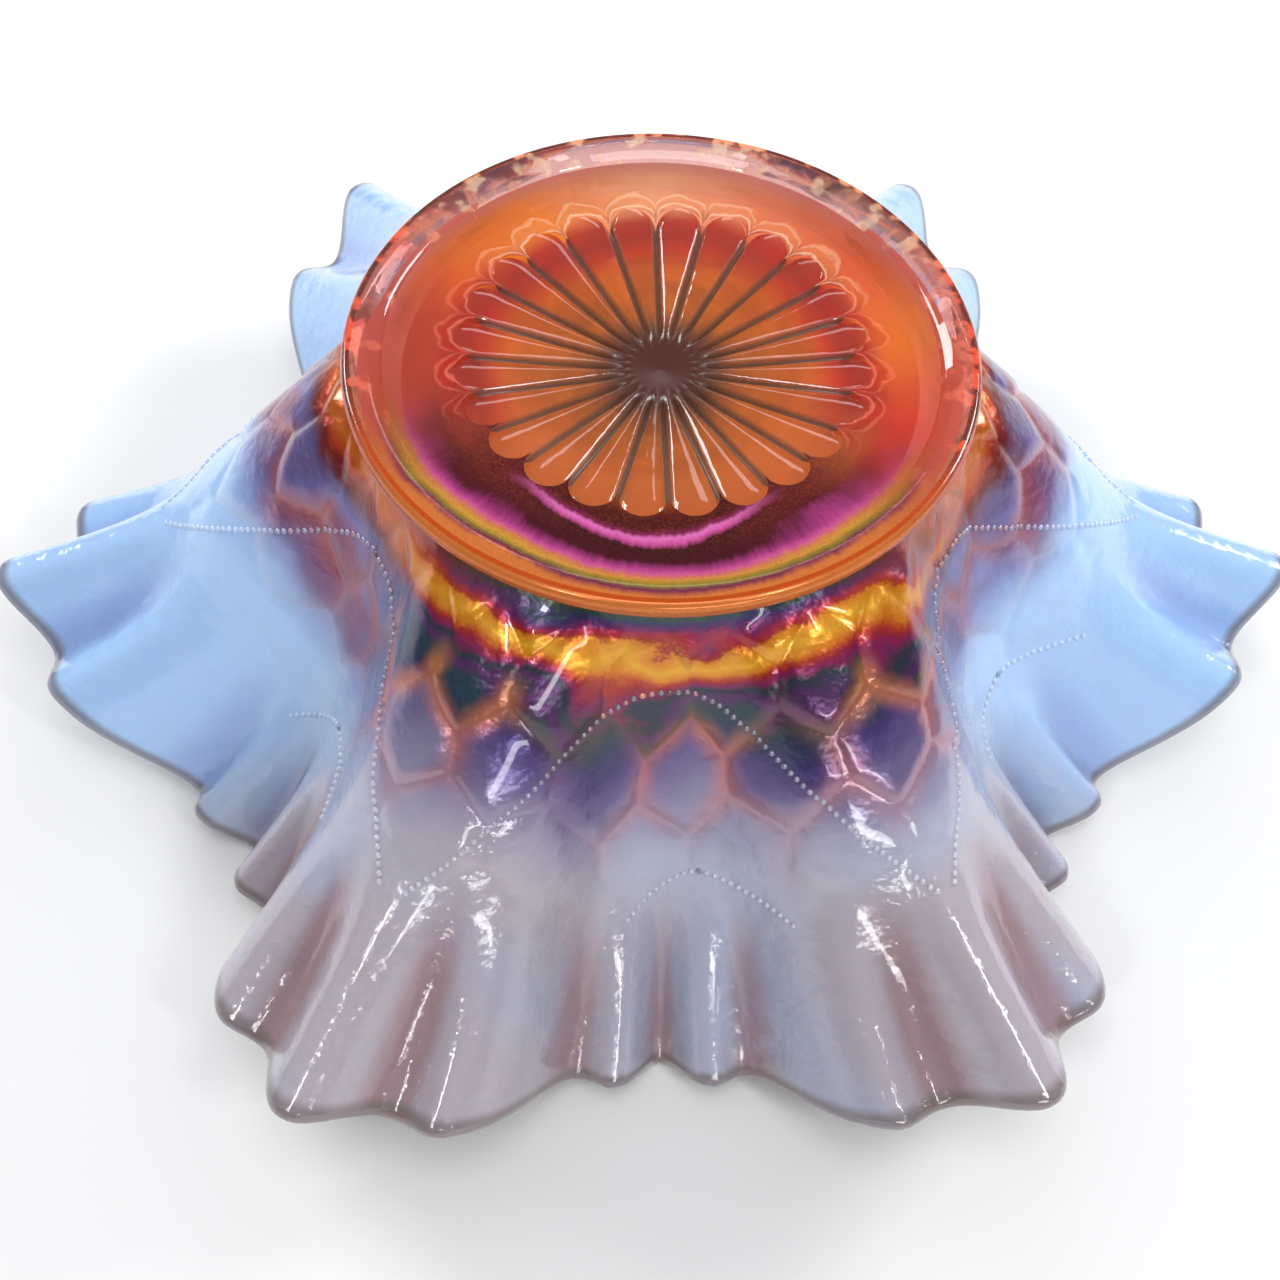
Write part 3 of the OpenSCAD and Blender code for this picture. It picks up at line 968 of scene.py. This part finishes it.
flecked = add(tree, "MapRange", [fleck, 0.35, 0.7, 0.35, 0.0], **SMOOTH)
under_star = add(tree, "Mix", [flecked, under_star, "#7A3208"], **COLOURS)
front = add(tree, "MapRange", [aside, 0.9, 1.4, 0.85, 0.0], **SMOOTH)
outer_half = add(tree, "MapRange", [out_place, 0.35, 0.5], **SMOOTH)
front = add(tree, "Math", [front, outer_half], operation="MULTIPLY")
under_star = add(tree, "Mix", [front, under_star, "#C86C20"], **COLOURS)

turn_place = add(tree, "MapRange", [turn, -math.pi, math.pi])
turn_drift = add(tree, "MapRange", [clouds, 0, 1, -0.04, 0.04])
turn_place = add(tree, "Math", [turn_place, turn_drift], operation="ADD")
under_ground = add(tree, "ValToRGB", [turn_place], stops=[
    (0.00, "#E0A884"), (0.05, "#D88850"), (0.09, "#E08000"), (0.17, "#D06000"), (0.20, "#B03804"),
    (0.27, "#A02A06"), (0.33, "#6E1408"), (0.39, "#440A0C"), (0.61, "#440A0C"), (0.64, "#901404"),
    (0.69, "#C42800"), (0.735, "#CC5008"), (0.79, "#DC7A08"), (0.84, "#D4602C"), (0.90, "#D87850"),
    (1.00, "#E0A884")])
past_star = add(tree, "MapRange", [out_place, 0.66, 0.74], **SMOOTH)
shade = add(tree, "Mix", [past_star, under_star, under_ground], **COLOURS)
behind = add(tree, "MapRange", [aside, 1.4, 2.2], **SMOOTH)
lip_colour = add(tree, "Mix", [behind, "#C44A14", "#BC7478"], **COLOURS)
under_lip = add(tree, "MapRange", [radius, 39 * MM, 42 * MM, 0.0, 0.7], **SMOOTH)
shade = add(tree, "Mix", [under_lip, shade, lip_colour], **COLOURS)
satin = add(tree, "BsdfPrincipled", {"Base Color": shade, "Metallic": 0.1, "Roughness": 0.4})
add(tree, "OutputMaterial", {"Surface": satin})
print("lining nodes", len(tree.nodes))

# %% [markdown]
# ### Giving out the finishes
#
# Each piece's first slot is its finish. The faces where pieces meet inside the glass are in the
# second slot, which is fully transparent, because the real bowl is one block of glass there. The
# lining is in the third: the underside of the base, and the top of the wall under the collar.

# %% Joints and slots
joint, tree = new_material("glass joint")
add(tree, "OutputMaterial", {"Surface": add(tree, "BsdfTransparent", {"Color": "#FFFFFF"})})

for piece, finishes in (
        (wall, [wall_glass, joint, lining]), (rim, [wall_glass, joint]), (beads, [wall_glass]),
        (collar, [foot_glass["clear marigold glass"], joint]), (star, [star_glass, joint, lining]),
        (ground, [foot_glass["sprayed ground glass"], joint, lining])):
    for finish in finishes:
        piece.data.materials.append(finish)

# The underside of the base is level and lies at the height of the floor
for piece in (star, ground):
    for face in piece.data.polygons:
        if abs(face.center.z - floor_z * MM) < 0.05 * MM and abs(face.normal.z) > 0.9:
            face.material_index = 2
# The top of the wall lies along the slanted joint
for face in wall.data.polygons:
    face_r = math.hypot(face.center.x, face.center.y) / MM
    if face.center.z / MM > joint_height(face_r) - touch:
        face.material_index = 2
lined = [face for piece in (star, ground, wall) for face in piece.data.polygons if face.material_index == 2]
print("faces that show the lining", len(lined))

# %% [markdown]
# ## Tie the pieces to the frame
#
# The bowl is one block of glass, so every piece rides on the one body, root. Each piece stands
# for the CAD zones that it covers, which are hidden, and the material slot of its record is printed.
# The beads add detail that the CAD leaves out, so they stand for nothing.

# %% Bodies, zones and slots
for piece, slot, nodes in (
        (collar, "marigold_foot_glass", ["collar_foot"]),
        (ground, "marigold_foot_glass", ["marie"]),
        (star, "marigold_star_glass", ["ray_star", "star_hub"]),
        (wall, "iridescent_wall_glass", ["scale_wall"]),
        (rim, "opal_rim_glass", ["crimped_rim"]),
        (beads, "iridescent_wall_glass", [])):
    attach(piece, "root")
    if nodes:
        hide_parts(*nodes)
    print(piece.name, "is on root in slot", slot)

# %% [markdown]
# ## Floor and room
#
# The bowl lies on matt pale board in a pale room. The room is brighter overhead than at the
# horizon, so that glass seen at a slant doesn't wash out. The camera sees the room brighter than
# the glass does, which keeps the backdrop pale behind the bowl in a low view.

# %% Floor and world
floor_bm = bmesh.new()
bmesh.ops.create_grid(floor_bm, x_segments=2, y_segments=2, size=3.0)
floor = finish_mesh(floor_bm, "studio_floor")
board_material, tree = new_material("matt white studio board")
board = add(tree, "BsdfPrincipled", {"Base Color": "#E6E6E6", "Roughness": 0.8})
add(tree, "OutputMaterial", {"Surface": board})
floor.data.materials.append(board_material)
floor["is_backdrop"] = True
print("the board reaches", round(max(corner.co.x for corner in floor.data.vertices), 1), "m each way")

world = bpy.data.worlds.new("pale studio")
bpy.context.scene.world = world
world.use_nodes = True
tree = world.node_tree
tree.nodes.clear()
heading = add(tree, "SeparateXYZ", [add(tree, "TexCoord").outputs["Generated"]]).outputs["Z"]
glow = add(tree, "MapRange", [heading, 0.05, 0.75, 0.14, 0.46], **SMOOTH)
seen = add(tree, "LightPath").outputs["Is Camera Ray"]
backdrop = add(tree, "Math", [seen, 0.9], operation="MULTIPLY")
strength = add(tree, "Math", [glow, backdrop], operation="MAXIMUM")
sky = add(tree, "Background", {"Color": "#F2F4F8", "Strength": strength})
add(tree, "OutputWorld", {"Surface": sky})
bpy.context.scene.view_settings.view_transform = "Standard"

# %% [markdown]
# ## Lamps
#
# Glass shows what it reflects, so the lamps are placed for their reflections. A window behind on
# each side lays long lights on the lip, small strips in front make the sparkle on the scales and
# crimps, a faint strip behind runs along the rays, and one broad lamp overhead fills the rest.

# %% Soft boxes
def soft_box(name, place, size, power):
    """A rectangular lamp turned to face the foot, with its place and size in metres."""
    lamp = bpy.data.lights.new(name, "AREA")
    lamp.shape = "RECTANGLE"
    lamp.size, lamp.size_y = size
    lamp.energy = power
    box = bpy.data.objects.new(name, lamp)
    bpy.context.scene.collection.objects.link(box)
    box.location = place
    aim = Vector((0, 0, bowl_h * MM)) - Vector(place)
    box.rotation_euler = aim.to_track_quat("-Z", "Y").to_euler()
    print(name, "at", place)


soft_box("left window", (-0.54, 0.50, 0.44), (0.34, 0.26), 4.2)
soft_box("right window", (0.66, 0.30, 0.42), (0.34, 0.24), 4.0)
soft_box("front left strip", (-0.30, -0.50, 0.62), (0.05, 0.14), 0.9)
soft_box("front right strip", (0.34, -0.42, 0.60), (0.05, 0.14), 0.9)
soft_box("low front strip", (0.16, -0.62, 0.20), (0.34, 0.04), 0.8)
soft_box("back strip", (0.10, 0.56, 0.40), (0.34, 0.10), 0.35)
soft_box("ceiling", (0, -0.30, 1.0), (0.5, 0.4), 2.8)

# %% [markdown]
# ## Camera
#
# The camera looks down on the bowl from the front and is rolled a little, as a camera held by
# hand is. It could be aimed with a Track To constraint, but its three axes written out say the
# same thing with nothing left live in the scene.

# %% Camera
eye_elevation = math.radians(55.49)
eye_turn = math.radians(-3.99)
eye_roll = math.radians(2.87)
eye_distance = 0.328
right = Vector((math.cos(eye_turn), math.sin(eye_turn), 0))
back = Vector((math.sin(eye_turn) * math.cos(eye_elevation), -math.cos(eye_turn) * math.cos(eye_elevation),
               math.sin(eye_elevation)))
up = back.cross(right)
target = right * -0.0011 + Vector((0, 0, 0.0072))
across = math.cos(eye_roll) * right + math.sin(eye_roll) * up
upright = math.cos(eye_roll) * up - math.sin(eye_roll) * right
camera_data = bpy.data.cameras.new("camera")
camera_data.lens = 52.6
camera_data.clip_start = 0.01
camera = bpy.data.objects.new("camera", camera_data)
bpy.context.scene.collection.objects.link(camera)
turned = Matrix((across, upright, back)).transposed().to_4x4()
camera.matrix_world = Matrix.Translation(target + back * eye_distance) @ turned
bpy.context.scene.camera = camera
print(f"the camera is {eye_distance} m from the point it looks at, with a {camera_data.lens:.1f} mm lens")

# %% [markdown]
# ## Sizes and finish
#
# The finer pieces should fill the same box as the CAD model, so the box of the visible
# pieces is measured and printed.

# %% Print the size of the visual box
looks_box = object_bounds()
low, high = [[round(v / MM, 1) for v in corner] for corner in looks_box]
print(f"visual box {low} to {high} mm")
